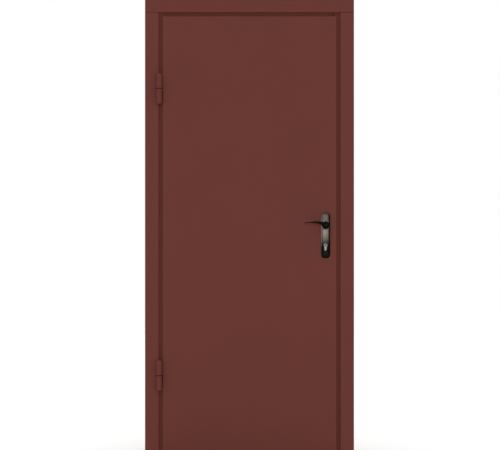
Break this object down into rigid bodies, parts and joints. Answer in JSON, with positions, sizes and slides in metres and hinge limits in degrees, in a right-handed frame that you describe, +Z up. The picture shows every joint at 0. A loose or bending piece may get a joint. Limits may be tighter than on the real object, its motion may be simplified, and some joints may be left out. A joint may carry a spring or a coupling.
{
  "type": "single-leaf steel entrance door with frame",
  "caption": "Flat red-brown steel door leaf lapping its bent-sheet frame, with casing, barrel hinges that open it outwards and a dark lever handle on a long backplate.",
  "frame": {"origin": "middle of the doorway at floor level, in the plane of the wall's outer face, on the underside of the threshold's front lip", "axes": "+X to the lock side, +Y into the building, +Z up"},
  "size_m": [0.96, 0.1712, 2.1],
  "materials": {
    "red_brown_paint": "satin red-brown powder coat on steel",
    "black_seal": "matt black extruded rubber",
    "bright_steel": "turned, lightly oiled steel",
    "zinc_steel": "zinc-plated pressed steel",
    "nickel": "satin nickel plate",
    "black_nickel": "glossy black nickel plate, relieved to grey on the plate"
  },
  "bodies": {
    "frame": {"hinge_jamb": "red_brown_paint", "lock_jamb": "red_brown_paint", "head_jamb": "red_brown_paint", "threshold": "red_brown_paint", "hinge_side_casing": "red_brown_paint", "lock_side_casing": "red_brown_paint", "head_casing": "red_brown_paint", "hinge_side_seal": "black_seal", "lock_side_seal": "black_seal", "head_seal": "black_seal", "threshold_seal": "black_seal", "upper_hinge_frame_barrel": "red_brown_paint", "lower_hinge_frame_barrel": "red_brown_paint", "upper_hinge_pin": "bright_steel", "lower_hinge_pin": "bright_steel", "upper_hinge_thrust_ring": "bright_steel", "lower_hinge_thrust_ring": "bright_steel"},
    "leaf": {"leaf_front_skin": "red_brown_paint", "leaf_inner_tray": "red_brown_paint", "upper_hinge_leaf_barrel": "red_brown_paint", "lower_hinge_leaf_barrel": "red_brown_paint", "lock_case": "zinc_steel", "lock_faceplate": "zinc_steel", "latch_bolt": "nickel", "dead_bolts": "nickel", "lock_cylinder": "nickel", "outer_key_plug": "nickel", "inner_key_plug": "nickel", "outer_backplate": "black_nickel", "inner_backplate": "black_nickel"},
    "lever_set": {"outer_lever": "black_nickel", "inner_lever": "black_nickel", "lever_spindle": "zinc_steel"}
  },
  "joints": [
    {"name": "leaf_swing", "type": "hinge", "parent": "frame", "child": "leaf", "pos_m": [-0.415, -0.033, 1.0285], "axis": [0, 0, -1], "range_deg": [0, 170]},
    {"name": "lever_turn", "type": "hinge", "parent": "leaf", "child": "lever_set", "pos_m": [0.349, 0.012, 1.06], "axis": [0, -1, 0], "range_deg": [0, 40], "stiffness_Nm_per_rad": 1.5, "springref_deg": -28.65}
  ]
}
